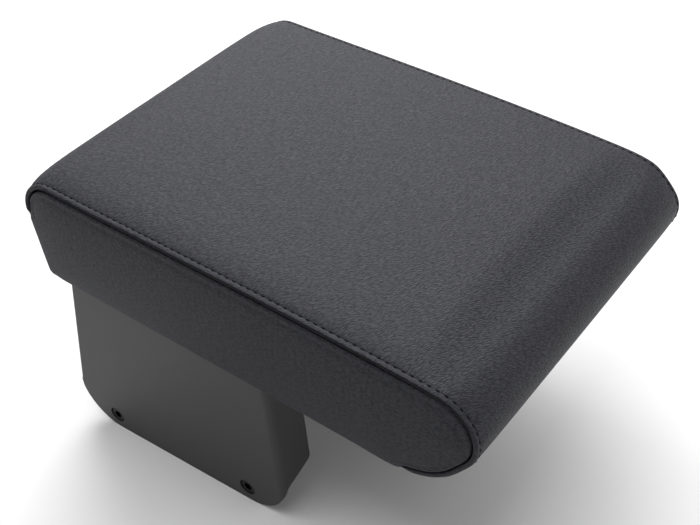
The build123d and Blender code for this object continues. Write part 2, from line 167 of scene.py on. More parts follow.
def hide_grain(tree):
    """The height of the leather's grain on the hide's own map: pressed pebbles, and wrinkles over them."""
    pebble = 1.15 * MM
    pebble_crease = 0.4
    wrinkle = 1.0 * MM
    wrinkle_stretch = 3.0
    wrinkle_share = 3.2
    wander = 9.0 * MM
    wander_reach = 2.4 * MM
    place = add_node(tree, "ShaderNodeUVMap", uv_map="hide")
    drift = add_node(
        tree, "ShaderNodeTexNoise", {"Vector": place.outputs["UV"], "Scale": 1 / wander, "Detail": 2.0}
    )
    centred = add_node(
        tree,
        "ShaderNodeVectorMath",
        {0: drift.outputs["Color"], 1: (0.5, 0.5, 0.5)},
        operation="SUBTRACT",
    )
    bent = add_node(
        tree,
        "ShaderNodeVectorMath",
        {0: centred.outputs[0], 1: (wander_reach, wander_reach, 0), 2: place.outputs["UV"]},
        operation="MULTIPLY_ADD",
    )
    stretched = add_node(
        tree,
        "ShaderNodeMapping",
        {
            "Vector": bent.outputs[0],
            "Rotation": (0.0, 0.0, -grain_lie),
            "Scale": (1.0, wrinkle_stretch, 1.0),
        },
        vector_type="TEXTURE",
    )
    cells = add_node(
        tree,
        "ShaderNodeTexVoronoi",
        {"Vector": stretched.outputs["Vector"], "Scale": 1 / pebble, "Randomness": 1.0},
        feature="DISTANCE_TO_EDGE",
        voronoi_dimensions="2D",
    )
    domes = add_node(
        tree,
        "ShaderNodeMapRange",
        {"Value": cells.outputs["Distance"], "From Max": pebble_crease},
        interpolation_type="SMOOTHSTEP",
    )
    wrinkles = add_node(
        tree,
        "ShaderNodeTexNoise",
        {"Vector": stretched.outputs["Vector"], "Scale": 1 / wrinkle, "Detail": 1.0, "Distortion": 0.6},
    )
    height = add_node(
        tree,
        "ShaderNodeMath",
        {0: wrinkles.outputs["Fac"], 1: wrinkle_share, 2: domes.outputs["Result"]},
        operation="MULTIPLY_ADD",
    )
    return height.outputs[0]


def pebbled_leather():
    """Black cowhide with a pressed pebble grain: a broad soft gloss that is lost in the creases."""
    relief_depth = 0.12 * MM
    worn_from = 1.3
    worn_to = 2.6
    crease_gloss = 0.135
    crest_gloss = 0.195
    material, tree, shader = new_material("black_cowhide_pressed_pebble_grain")
    shader.inputs["Roughness"].default_value = 0.58
    # Painted lamp colour: the blue tint of the gloss stands in for bluish light from above and is not the
    # leather's own colour
    shader.inputs["Specular Tint"].default_value = linear("#e8ecff")
    height = hide_grain(tree)
    relief = add_node(
        tree, "ShaderNodeBump", {"Height": height, "Strength": 1.0, "Distance": relief_depth}
    )
    wear = add_node(
        tree, "ShaderNodeMapRange", {"Value": height, "From Min": worn_from, "From Max": worn_to}
    )
    gloss = add_node(
        tree,
        "ShaderNodeMapRange",
        {"Value": wear.outputs["Result"], "To Min": crease_gloss, "To Max": crest_gloss},
    )
    dye = add_node(tree, "ShaderNodeValToRGB", {"Fac": wear.outputs["Result"]})
    dye.color_ramp.elements[0].color = linear("#29292c")
    dye.color_ramp.elements[1].color = linear("#38383b")
    tree.links.new(dye.outputs["Color"], shader.inputs["Base Color"])
    tree.links.new(gloss.outputs["Result"], shader.inputs["Specular IOR Level"])
    tree.links.new(relief.outputs["Normal"], shader.inputs["Normal"])
    return material


def sewing_thread():
    """Black bonded polyester thread: matt, with the twist of its plies."""
    ply = 0.5 * MM
    material, tree, shader = new_material("black_bonded_polyester_thread")
    shader.inputs["Roughness"].default_value = 0.8
    shader.inputs["Specular IOR Level"].default_value = 0.15
    place = add_node(tree, "ShaderNodeTexCoord")
    twist = add_node(
        tree,
        "ShaderNodeTexWave",
        {"Vector": place.outputs["Object"], "Scale": 1 / ply / 2, "Distortion": 1.0},
        bands_direction="DIAGONAL",
    )
    shade = add_node(tree, "ShaderNodeValToRGB", {"Fac": twist.outputs["Fac"]})
    shade.color_ramp.elements[0].color = linear("#050506")
    shade.color_ramp.elements[1].color = linear("#0c0c0d")
    tree.links.new(shade.outputs["Color"], shader.inputs["Base Color"])
    return material


def moulded_abs(name, dark, light, roughness):
    """Black ABS from a spark-eroded mould: an even, fine, low gloss texture."""
    # Real spark texture is finer, and is drawn this coarse so that it shows
    spark = 0.7 * MM
    spark_depth = 0.08 * MM
    flow = 45.0 * MM
    material, tree, shader = new_material(name)
    shader.inputs["Roughness"].default_value = roughness
    shader.inputs["IOR"].default_value = 1.54
    place = add_node(tree, "ShaderNodeTexCoord")
    grit = add_node(
        tree, "ShaderNodeTexNoise", {"Vector": place.outputs["Object"], "Scale": 1 / spark, "Detail": 2.0}
    )
    relief = add_node(
        tree, "ShaderNodeBump", {"Height": grit.outputs["Fac"], "Strength": 0.5, "Distance": spark_depth}
    )
    streaks = add_node(
        tree, "ShaderNodeTexNoise", {"Vector": place.outputs["Object"], "Scale": 1 / flow, "Detail": 1.0}
    )
    shade = add_node(tree, "ShaderNodeValToRGB", {"Fac": streaks.outputs["Fac"]})
    shade.color_ramp.elements[0].color = linear(dark)
    shade.color_ramp.elements[1].color = linear(light)
    tree.links.new(shade.outputs["Color"], shader.inputs["Base Color"])
    tree.links.new(relief.outputs["Normal"], shader.inputs["Normal"])
    return material


def finished_metal(name, colour, roughness, grain, spread):
    """Steel with a plated or blackened skin: crystals of the finish break up the gloss."""
    material, tree, shader = new_material(name)
    shader.inputs["Metallic"].default_value = 1.0
    shader.inputs["Base Color"].default_value = linear(colour)
    place = add_node(tree, "ShaderNodeTexCoord")
    crystals = add_node(
        tree,
        "ShaderNodeTexVoronoi",
        {"Vector": place.outputs["Object"], "Scale": 1 / grain, "Randomness": 1.0},
    )
    gloss = add_node(
        tree,
        "ShaderNodeMapRange",
        {
            "Value": crystals.outputs["Distance"],
            "To Min": roughness - spread,
            "To Max": roughness + spread,
        },
    )
    tree.links.new(gloss.outputs["Result"], shader.inputs["Roughness"])
    return material


def soft_solid(name, colour, roughness, grain, depth):
    """Foam, rubber or nylon: one colour right through, with a fine surface that scatters the light."""
    material, tree, shader = new_material(name)
    shader.inputs["Base Color"].default_value = linear(colour)
    shader.inputs["Roughness"].default_value = roughness
    place = add_node(tree, "ShaderNodeTexCoord")
    cells = add_node(
        tree, "ShaderNodeTexNoise", {"Vector": place.outputs["Object"], "Scale": 1 / grain, "Detail": 3.0}
    )
    relief = add_node(
        tree, "ShaderNodeBump", {"Height": cells.outputs["Fac"], "Strength": 0.4, "Distance": depth}
    )
    tree.links.new(relief.outputs["Normal"], shader.inputs["Normal"])
    return material


def unit(vector):
    return vector / np.linalg.norm(vector)


def evenly(points, count):
    """That many points, evenly along a line of points."""
    run = np.concatenate([[0.0], np.cumsum(np.linalg.norm(np.diff(points, axis=0), axis=1))])
    places = np.linspace(0.0, run[-1], count)
    return np.column_stack([np.interp(places, run, points[:, axis]) for axis in range(points.shape[1])])


def rounded(corners, radii):
    """A line through the corners with an arc at each inner one, as closely spaced points."""
    corners = [np.array(corner, float) for corner in corners]
    points = [corners[0]]
    for before, corner, after, radius in zip(corners, corners[1:], corners[2:], radii):
        back = unit(before - corner)
        onward = unit(after - corner)
        half = acos(float(back @ onward)) / 2
        centre = corner + unit(back + onward) * radius / sin(half)
        first = corner + back * radius / tan(half) - centre
        last = corner + onward * radius / tan(half) - centre
        start = atan2(first[1], first[0])
        turn = (atan2(last[1], last[0]) - start + pi) % (2 * pi) - pi
        angles = start + turn * np.linspace(0.0, 1.0, arc_points)
        points.extend(centre + radius * np.column_stack([np.cos(angles), np.sin(angles)]))
    points.append(corners[-1])
    return np.array(points)


def length_of(points):
    return float(np.linalg.norm(np.diff(points, axis=0), axis=1).sum())


def outward(points):
    """Unit normals to the left of a line of points, which is outwards on the lid's section."""
    along = np.gradient(points, axis=0)
    along /= np.linalg.norm(along, axis=1, keepdims=True)
    return np.column_stack([-along[:, 1], along[:, 0]])


def graded(length, fine, coarse, growth=1.3):
    """Places from 0 to the length, close together at both ends and wider in the middle."""
    half = [0.0]
    step = fine
    while half[-1] + step < length / 2:
        half.append(half[-1] + step)
        step = min(step * growth, coarse)
    half = np.array(half) * (length / 2 / half[-1])
    return np.concatenate([half, length - half[-2::-1]])


def spline_at(grid, places, axis):
    """A grid read at places along one axis, counted in cells, on a smooth curve through its points."""
    grid = np.moveaxis(grid, axis, 0)
    last = len(grid) - 1
    cell = np.clip(np.floor(places).astype(int), 0, last - 1)
    part = (places - cell).reshape((-1,) + (1,) * (grid.ndim - 1))
    before = grid[np.maximum(cell - 1, 0)]
    start = grid[cell]
    stop = grid[cell + 1]
    after = grid[np.minimum(cell + 2, last)]
    cubic = 3 * (start - stop) + after - before
    square = 2 * before - 5 * start + 4 * stop - after
    smooth = start + part / 2 * (stop - before + part * (square + part * cubic))
    return np.moveaxis(smooth, 0, axis)


def in_frame(lid_points):
    """Points given as u, v and y in the lid, in millimetres, as places in the frame, in metres."""
    u, v, y = lid_points[..., 0], lid_points[..., 1], lid_points[..., 2]
    x = lid_rear + u * cos(lid_tilt) + v * sin(lid_tilt)
    z = lid_seat_height - u * sin(lid_tilt) + v * cos(lid_tilt)
    return np.stack([x, y, z], axis=-1) * MM


def grid_faces(rows, columns, flip):
    """Vertex numbers of the four-sided faces of a grid."""
    faces = []
    for row in range(rows - 1):
        for column in range(columns - 1):
            corner = row * columns + column
            face = (corner, corner + 1, corner + columns + 1, corner + columns)
            faces.append(face[::-1] if flip else face)
    return faces


def grid_object(name, lid_grid, hide=None, flip=False):
    """A mesh object from a grid of lid points, with the place on the hide, in metres, as its UV map."""
    rows, columns = lid_grid.shape[:2]
    mesh = bpy.data.meshes.new(name)
    mesh.from_pydata(in_frame(lid_grid).reshape(-1, 3).tolist(), [], grid_faces(rows, columns, flip))
    mesh.shade_smooth()
    if hide is not None:
        corners = np.empty(len(mesh.loops), dtype=np.int32)
        mesh.loops.foreach_get("vertex_index", corners)
        layer = mesh.uv_layers.new(name="hide")
        layer.uv.foreach_set("vector", (hide.reshape(-1, 2)[corners] * MM).ravel())
    piece = bpy.data.objects.new(name, mesh)
    bpy.context.scene.collection.objects.link(piece)
    return piece


def inflate(lid_grid, pinned, rise, flip=False):
    """The grid after the foam has pushed it out by the rise, with the pinned points held by sewing."""
    panel = grid_object("panel_under_pressure", lid_grid, flip=flip)
    sewn = panel.vertex_groups.new(name="sewn")
    sewn.add(np.flatnonzero(pinned.ravel()).tolist(), 1.0, "REPLACE")
    cloth = panel.modifiers.new("cloth", "CLOTH")
    cloth.settings.vertex_group_mass = "sewn"
    cloth.settings.use_pressure = True
    cloth.settings.uniform_pressure_force = foam_pressure
    cloth.settings.quality = pressing_steps
    cloth.settings.effector_weights.gravity = 0.0
    cloth.point_cache.frame_start = 1
    cloth.point_cache.frame_end = pressing_frames
    for moment in range(1, pressing_frames + 1):
        bpy.context.scene.frame_set(moment)
    pushed = panel.evaluated_get(bpy.context.evaluated_depsgraph_get()).to_mesh()
    places = np.empty(len(pushed.vertices) * 3)
    pushed.vertices.foreach_get("co", places)
    moved = places.reshape(lid_grid.shape) - in_frame(lid_grid)
    mesh = panel.data
    bpy.data.objects.remove(panel)
    bpy.data.meshes.remove(mesh)
    bpy.context.scene.frame_set(1)
    moved /= MM
    moved *= rise / np.linalg.norm(moved, axis=-1).max()
    u = moved[..., 0] * cos(lid_tilt) - moved[..., 2] * sin(lid_tilt)
    v = moved[..., 0] * sin(lid_tilt) + moved[..., 2] * cos(lid_tilt)
    return lid_grid + np.stack([u, v, moved[..., 1]], axis=-1)


def ripple(run, wave):
    """An uneven ripple between -1 and 1 along a run, with about that wave length."""
    turn = 2 * pi * run / wave
    return 0.6 * np.sin(turn + 1.3 * np.sin(turn / 5.3)) + 0.4 * np.sin(turn * 0.73 + 2.0)


def eased(ramp):
    """A ramp cut off at 0 and 1, with soft ends."""
    ramp = np.clip(ramp, 0.0, 1.0)
    return ramp * ramp * (3 - 2 * ramp)


# Corners of the lid's section
nose_centre_u = lid_reach - nose_radius
nose_centre_v = lid_rear_thickness - nose_centre_u * tan(lid_top_fall) - nose_radius / cos(lid_top_fall)
nose_foot = nose_centre_u + nose_radius * sin(nose_undercut)
nose_foot -= (nose_centre_v - nose_radius * cos(nose_undercut)) / tan(nose_undercut)
underside_front = nose_foot - underwrap_radius * tan(nose_undercut / 2)
heel_v = lid_rear_thickness / (1 - tan(lid_rear_lean) * tan(lid_top_fall))
nose_u = (lid_rear_thickness + nose_foot * tan(nose_undercut)) / (tan(nose_undercut) + tan(lid_top_fall))
section_corners = [
    (0.0, 0.0),
    (-heel_v * tan(lid_rear_lean), heel_v),
    (nose_u, (nose_u - nose_foot) * tan(nose_undercut)),
    (nose_foot, 0.0),
]
section_radii = [lower_edge_radius, heel_radius, nose_radius, underwrap_radius]


def bump(angle, middle, spread):
    """A soft bump of height 1 about one angle, in degrees."""
    return np.exp(-(((angle - middle) / spread) ** 2))


def nose_angle(points):
    """Angle round the middle of the nose, in degrees: 90 on the top, 0 at the tip."""
    return np.degrees(np.arctan2(points[..., 1] - nose_centre_v, points[..., 0] - nose_centre_u))


def section_line(start, stop):
    """The lid's section from a place on the underside, up the rear, over the top and under the nose."""
    line = evenly(rounded([start, *section_corners, stop], section_radii), section_points)
    on_top = eased((line[:, 1] - nose_centre_v) / nose_radius)
    along = np.clip((line[:, 0] - heel_radius) / (nose_centre_u - heel_radius), 0.0, 1.0)
    line[:, 1] += top_arch * np.sin(pi * along**top_arch_lean) * on_top
    belly = nose_belly * bump(nose_angle(line), belly_angle, belly_spread)
    return line + outward(line) * belly[:, None]


# The line of the top panel, from one turned end to the other
over_line = section_line((underwrap, 0.0), (underside_front - underwrap, 0.0))
over_length = length_of(over_line)


def rear_end(points):
    """1 on the rear end below the heel, where the side panel wraps round the corner, and 0 elsewhere."""
    fade = 10.0
    wrap_top = lid_rear_thickness - heel_radius + 2.0
    return eased((wrap_top - points[..., 1]) / fade) * eased((heel_radius - points[..., 0]) / fade)


def nose_end(points):
    """1 round the nose and 0 on the top and the rear."""
    fade = 30.0
    fade_start = nose_centre_u - 25.0
    return eased((points[..., 0] - fade_start) / fade)


def seam_sink(points):
    """1 on the upper half of the nose, where the side seams are drawn in, and 0 elsewhere."""
    return bump(nose_angle(points), sink_angle, sink_spread)


def seam_draw(points):
    """How far the sewing draws the side seams in towards the middle of the lid."""
    return rear_seam_draw * rear_end(points) + nose_seam_draw * seam_sink(points)


def heel_end(points):
    """1 round the heel, where the pad is fullest, and 0 on the rest."""
    heel_centre_v = lid_rear_thickness - heel_radius
    heel_centre_u = heel_radius / cos(lid_rear_lean) - heel_centre_v * tan(lid_rear_lean)
    angle = np.degrees(np.arctan2(points[..., 1] - heel_centre_v, points[..., 0] - heel_centre_u))
    return bump(angle, heel_angle, heel_spread)


def bend_weight(points, normals):
    """1 round the heel and the nose, where leather is gathered by the bend, and 0 on the flats."""
    turn = np.linalg.norm(np.gradient(normals, axis=0), axis=1)
    turn /= np.maximum(np.linalg.norm(np.gradient(points, axis=0), axis=1), 1e-6)
    weight = np.clip(turn * heel_radius, 0.0, 1.0)
    blur_points = 9
    blur = np.ones(blur_points) / blur_points
    return np.convolve(np.pad(weight, blur_points // 2, mode="edge"), blur, mode="valid")


def top_relief(run, span, half, line, normals):
    """How far the top panel stands out: full between its seams, and pinched and gathered beside them."""
    hem_fade = 30.0
    nose_flatness = 0.95
    puff_reach = 8.0
    sink_reach = 14.0
    dip = 0.3
    dip_reach = 1.3
    pinch_depth = 0.05
    pinch_reach = 2.0
    gather_on_flat = 0.05
    gather_on_bend = 0.14
    gather_wave = 8.5
    gather_reach = 9.0
    from_seam = np.minimum(span, 2 * half - span)
    above_hem = eased((line[:, 1] - lower_edge_radius) / hem_fade) * (1 - nose_flatness * nose_end(line))
    puff = top_puff * above_hem[:, None] * (1 - np.exp(-from_seam / puff_reach))
    puff += heel_crown * heel_end(line)[:, None] * (1 - (span / half - 1) ** 2)
    sink = nose_seam_sink * seam_sink(line)[:, None] * np.exp(-from_seam / sink_reach)
    sink += dip * np.exp(-from_seam / dip_reach)
    pinch = pinch_depth * np.cos(2 * pi * run / stitch_pitch)[:, None] * np.exp(-from_seam / pinch_reach)
    gather = gather_on_flat + gather_on_bend * bend_weight(line, normals)[:, None]
    gather = gather * ripple(run, gather_wave)[:, None] * np.exp(-((from_seam / gather_reach) ** 2))
    return puff - sink - pinch + gather


def leather_top():
    """The top panel: from under the nose, over the top and down the rear end, crowned by the foam."""
    nose_tightness = 0.9
    along_step = 1.5
    seam_step = 0.45
    middle_step = 3.0
    half = lid_half - fold_width
    rows = int(over_length / sewing_grid)
    columns = int(2 * half / sewing_grid)
    line = evenly(over_line, rows + 1)
    coarse = np.empty((rows + 1, columns + 1, 3))
    coarse[..., :2] = line[:, None]
    coarse[..., 2] = np.linspace(-half, half, columns + 1)
    pinned = np.zeros((rows + 1, columns + 1), bool)
    pinned[:, [0, -1]] = True
    pinned[line[:, 1] < lower_edge_radius / 2] = True
    slack = 1 - nose_tightness * nose_end(line)
    pushed = coarse + (inflate(coarse, pinned, top_crown, flip=True) - coarse) * slack[:, None, None]
    run = np.linspace(0.0, over_length, int(over_length / along_step) + 1)
    span = graded(2 * half, seam_step, middle_step)
    fine = spline_at(pushed, run / over_length * rows, 0)
    fine = spline_at(fine, span / (2 * half) * columns, 1)
    fine_line = evenly(over_line, len(run))
    normals = outward(fine_line)
    relief = top_relief(run, span, half, fine_line, normals)
    fine[..., :2] += normals[:, None] * relief[..., None]
    fine[..., 2] *= 1 - nose_seam_draw / half * seam_sink(fine_line)[:, None]
    hide = np.stack(np.meshgrid(run, span, indexing="ij"), axis=-1)
    return grid_object("leather_top", fine, hide, flip=True)


def fold_fade():
    """How much of the fold stands up along the top panel's line: none where its ends are turned under."""
    fade = 12.0
    fold_start = underwrap + 2.0
    run = np.linspace(0.0, over_length, int(over_length / fold_step) + 1)
    return run, eased((run - fold_start) / fade) * eased((over_length - run - fold_end) / fade)


def fold_shape(line):
    """The fold's profile at each point of a line, as depth from the lid's side and rise above the line.

    Along the top it is two layers with a groove between them. The groove closes round the heel and down
    the nose, where the fold shows one edge. Both profiles have the same number of points, in pairs.
    """
    closing_start = 60.0
    closing_turn = 50.0
    points_per_step = 3
    two_layers = np.array([
        (3.2, -3.0),
        (1.8, -2.95),
        (0.7, -2.75),
        (0.2, -2.4),
        (0.15, -2.0),
        (0.4, -1.85),
        (0.9, -2.1),
        (1.5, -2.5),
        (2.0, -2.45),
        (1.9, -1.8),
        (1.1, -1.3),
        (0.45, -1.2),
        (0.12, -0.9),
        (0.25, -0.5),
        (0.8, -0.2),
        (1.5, -0.05),
        (2.1, -0.02),
        (2.6, -0.1),
        (3.0, -0.35),
        (3.4, -1.3),
    ])
    straight_face = [(0.25, rise) for rise in np.linspace(-1.9, -1.5, 5)]
    one_edge = np.array([
        (3.2, -2.9),
        (1.8, -2.85),
        (0.85, -2.65),
        (0.4, -2.3),
        (0.28, -2.05),
        *straight_face,
        (0.25, -1.35),
        (0.27, -1.2),
        (0.32, -0.9),
        (0.45, -0.5),
        (0.85, -0.15),
        (1.5, 0.02),
        (2.2, 0.08),
        (2.7, -0.05),
        (3.1, -0.35),
        (3.4, -1.3),
    ])
    places = np.linspace(0.0, len(two_layers) - 1, points_per_step * len(two_layers))
    two_layers = spline_at(two_layers, places, 0)
    one_edge = spline_at(one_edge, places, 0)
    down_nose = eased((closing_start - nose_angle(line)) / closing_turn)
    closed = np.maximum(heel_end(line), down_nose)
    return two_layers + (one_edge - two_layers) * closed[:, None, None]


def leather_fold(side):
    """The top panel's edge, folded under along one side seam and stitched down."""
    # Where the fold fades out it is pressed flat at this rise, and narrowed to this share about this depth
    pressed_rise = -1.9
    pressed_share = 0.6
    pressed_depth = 1.7
    pinch_depth = 0.02
    gather_on_bend = 0.07
    gather_wave = 6.0
    folded_width = 18.0
    run, fade = fold_fade()
    line = evenly(over_line, len(run))
    normals = outward(line)
    shape = fold_shape(line)
    rise = shape[..., 1] - nose_seam_sink * seam_sink(line)[:, None]
    rise = pressed_rise + (rise - pressed_rise) * fade[:, None]
    pinch = pinch_depth * np.cos(2 * pi * run / stitch_pitch)
    pinch += gather_on_bend * bend_weight(line, normals) * ripple(run, gather_wave)
    rise = rise - (pinch * fade)[:, None] * np.clip(shape[..., 0] / fold_width, 0.0, 1.0)
    depth = shape[..., 0] - pressed_depth
    depth = pressed_depth + depth * (pressed_share + (1 - pressed_share) * fade[:, None])
    depth = depth + seam_draw(line)[:, None]
    grid = np.empty(shape.shape[:2] + (3,))
    grid[..., :2] = line[:, None] + normals[:, None] * rise[..., None]
    grid[..., 2] = side * (lid_half - depth)
    hide_width = np.linspace(0.0, folded_width, shape.shape[1])
    hide = np.stack(np.meshgrid(run, hide_width, indexing="ij"), axis=-1)
    name = "leather_fold_left" if side > 0 else "leather_fold_right"
    return grid_object(name, grid, hide, flip=side < 0)


def stitch_tree():
    """Geometry nodes that lay one stitch at every pitch along a line."""
    tree = bpy.data.node_groups.new("row_of_stitches", "GeometryNodeTree")
    sockets = (
        ("Line", "NodeSocketGeometry"),
        ("Pitch", "NodeSocketFloat"),
        ("Length", "NodeSocketFloat"),
        ("Width", "NodeSocketFloat"),
        ("Thread", "NodeSocketMaterial"),
    )
    for name, kind in sockets:
        tree.interface.new_socket(name, in_out="INPUT", socket_type=kind)
    tree.interface.new_socket("Stitches", in_out="OUTPUT", socket_type="NodeSocketGeometry")
    given = add_node(tree, "NodeGroupInput").outputs
    curve = add_node(tree, "GeometryNodeMeshToCurve", {"Mesh": given["Line"]})
    places = add_node(
        tree,
        "GeometryNodeCurveToPoints",
        {"Curve": curve.outputs["Curve"], "Length": given["Pitch"]},
        mode="LENGTH",
    )
    bead = add_node(tree, "GeometryNodeMeshUVSphere", {"Segments": 8, "Rings": 6, "Radius": 0.5})
    size = add_node(
        tree, "ShaderNodeCombineXYZ", {"X": given["Width"], "Y": given["Width"], "Z": given["Length"]}
    )
    row = add_node(
        tree,
        "GeometryNodeInstanceOnPoints",
        {
            "Points": places.outputs["Points"],
            "Instance": bead.outputs["Mesh"],
            "Rotation": places.outputs["Rotation"],
            "Scale": size.outputs["Vector"],
        },
    )
    mesh = add_node(tree, "GeometryNodeRealizeInstances", {"Geometry": row.outputs["Instances"]})
    dyed = add_node(
        tree,
        "GeometryNodeSetMaterial",
        {"Geometry": mesh.outputs["Geometry"], "Material": given["Thread"]},
    )
    add_node(tree, "NodeGroupOutput", {"Stitches": dyed.outputs["Geometry"]})
    return tree


def stitch_row(side, tree, thread):
    """The row of topstitches beside one fold."""
    thread_sink = 0.05
    least_fold = 0.9
    run, fade = fold_fade()
    line = evenly(over_line, len(run))
    path = np.empty((len(run), 3))
    path[:, :2] = line - outward(line) * (thread_sink + nose_seam_sink * seam_sink(line))[:, None]
    path[:, 2] = side * (lid_half - fold_width - seam_draw(line))
    path = in_frame(path[fade > least_fold])
    name = "stitches_left" if side > 0 else "stitches_right"
    mesh = bpy.data.meshes.new(name + "_line")
    mesh.from_pydata(path.tolist(), [(start, start + 1) for start in range(len(path) - 1)], [])
    row = bpy.data.objects.new(name, mesh)
    bpy.context.scene.collection.objects.link(row)
    maker = row.modifiers.new("row_of_stitches", "NODES")
    maker.node_group = tree
    values = {
        "Pitch": stitch_pitch * MM,
        "Length": stitch_length * MM,
        "Width": stitch_width * MM,
        "Thread": thread,
    }
    for socket in tree.interface.items_tree:
        if socket.name in values:
            maker[socket.identifier] = values[socket.name]
    made = row.evaluated_get(bpy.context.evaluated_depsgraph_get())
    row.data = bpy.data.meshes.new_from_object(made)
    row.modifiers.clear()
    # The bead's own empty slot comes first; without it the thread is the only one
    row.data.materials.pop(index=0)
    row.data.shade_smooth()
    bpy.data.meshes.remove(mesh)
    return row


def patch(bottom, top, rear, nose):
    """A grid of points that fills four edges, each a line of points that runs forwards or upwards."""
    along = np.linspace(0.0, 1.0, len(bottom))[None, :, None]
    up = np.linspace(0.0, 1.0, len(rear))[:, None, None]
    between = (1 - up) * bottom[None] + up * top[None]
    between = between + (1 - along) * rear[:, None] + along * nose[:, None]
    corners = (1 - up) * ((1 - along) * bottom[0] + along * bottom[-1])
    corners = corners + up * ((1 - along) * top[0] + along * top[-1])
    return between - corners


def nearest_on(line, points):
    """For each point, the number of the nearest point on a line and the distance to it."""
    batch = 2000
    number = np.empty(len(points), int)
    distance = np.empty(len(points))
    for start in range(0, len(points), batch):
        stop = start + batch
        gaps = np.linalg.norm(points[start:stop, None] - line[None], axis=-1)
        number[start:stop] = gaps.argmin(axis=1)
        distance[start:stop] = gaps.min(axis=1)
    return number, distance


def quarter_round(distance, radius):
    """How far an edge of that radius falls away at a distance from its end."""
    return radius - np.sqrt(radius**2 - np.clip(radius - distance, 0.0, radius) ** 2)


def hem_share(loop, front):
    """1 where the lower edge is turned under the lid, as far as the front, and 0 elsewhere."""
    fade = 9.0
    inside = np.minimum(loop[:, 0] - underwrap, front - loop[:, 0])
    return (loop[:, 1] < lower_edge_radius) * eased((inside + fade) / fade)


def side_edge(loop, normals, hem):
    """The edge of a side panel: below the fold, less so at heel and nose, and level with the hem."""
    heel_lift = 0.5
    nose_lift = 1.0
    rear_inset = 0.4
    lift = np.maximum(heel_lift * heel_end(loop), nose_lift * nose_end(loop))
    drop = fold_drop - lift + nose_seam_sink * seam_sink(loop)
    inset = (drop + (rear_inset - drop) * rear_end(loop)) * (1 - hem)
    return loop - normals * inset[:, None]


def side_grid(edge, rows, columns):
    """A coarse flat grid inside the edge of a side panel."""
    corners = np.array(section_corners)
    splits = [int(np.argmin(np.linalg.norm(edge - corner, axis=1))) for corner in corners]
    lower_rear, heel, nose_top, nose_low = splits
    rear = edge[lower_rear:heel + 1]
    top = edge[heel:nose_top + 1]
    nose = edge[nose_top:nose_low + 1][::-1]
    bottom = np.concatenate([edge[nose_low:], edge[:lower_rear + 1]])[::-1]
    return patch(
        evenly(bottom, columns + 1),
        evenly(top, columns + 1),
        evenly(rear, rows + 1),
        evenly(nose, rows + 1),
    )


def side_relief(loop, normals, hem, number, from_edge):
    """How far points of a side panel stand out, and slip to the middle, from their place by its edge.

    A sewn edge curls in behind the fold and puckers, with a valley beside it. A hem is rounded over.
    """
    curl_turn = radians(150.0)
    pillow_reach = 8.0
    valley_depth = 0.5
    valley_place = 5.0
    valley_width = 1.4
    pucker_on_flat = 0.05
    pucker_on_bend = 0.28
    pucker_wave = 5.0
    pucker_place = 2.0
    pucker_width = 3.0
    draw_reach = 12.0
    hemmed = hem[number]
    roll = rear_roll + (hem_roll - rear_roll) * hemmed
    sewn = (1 - hemmed) * (1 - rear_end(loop)[number])
    turn = curl_turn * np.clip(1 - from_edge / (2 * seam_roll), 0.0, 1.0)
    tuck = seam_roll * (1 - np.cos(turn)) * sewn
    slip = np.where(turn > 0, 2 * seam_roll - seam_roll * np.sin(turn) - from_edge, 0.0) * sewn
    pillow = side_pillow * (1 - np.exp(-from_edge / pillow_reach))
    valley = valley_depth * sewn * np.exp(-(((from_edge - valley_place) / valley_width) ** 2))
    pucker = pucker_on_flat + pucker_on_bend * bend_weight(loop, normals)[number]
    pucker = pucker * sewn * ripple(number * loop_step, pucker_wave)
    pucker = pucker * np.exp(-(((from_edge - pucker_place) / pucker_width) ** 2))
    drawn_in = nose_seam_draw * seam_sink(loop)[number] * np.exp(-from_edge / draw_reach)
    rounding = quarter_round(from_edge, roll) * (1 - sewn)
    return pucker + pillow - valley - drawn_in - tuck - rounding, slip


def hem_flap(side, lower_row, lower_hide, hem, wide_hem):
    """Rows that go on from a side panel's lower edge, in under the lid, and their place on the hide."""
    tuck_in = 0.8
    narrow_hem = 1.8
    wide = underwrap + side_recess - hem_roll - tuck_in - narrow_hem
    reach = tuck_in + narrow_hem * hem + wide * wide_hem
    parts = (1.0, 0.7, 0.4, 0.15)
    flap = np.repeat(lower_row[None], len(parts), axis=0)
    hide = np.repeat(lower_hide[None], len(parts), axis=0)
    for row, part in enumerate(parts):
        flap[row, :, 2] -= side * reach * part
        hide[row, :, 0] += reach * part
    return flap, hide


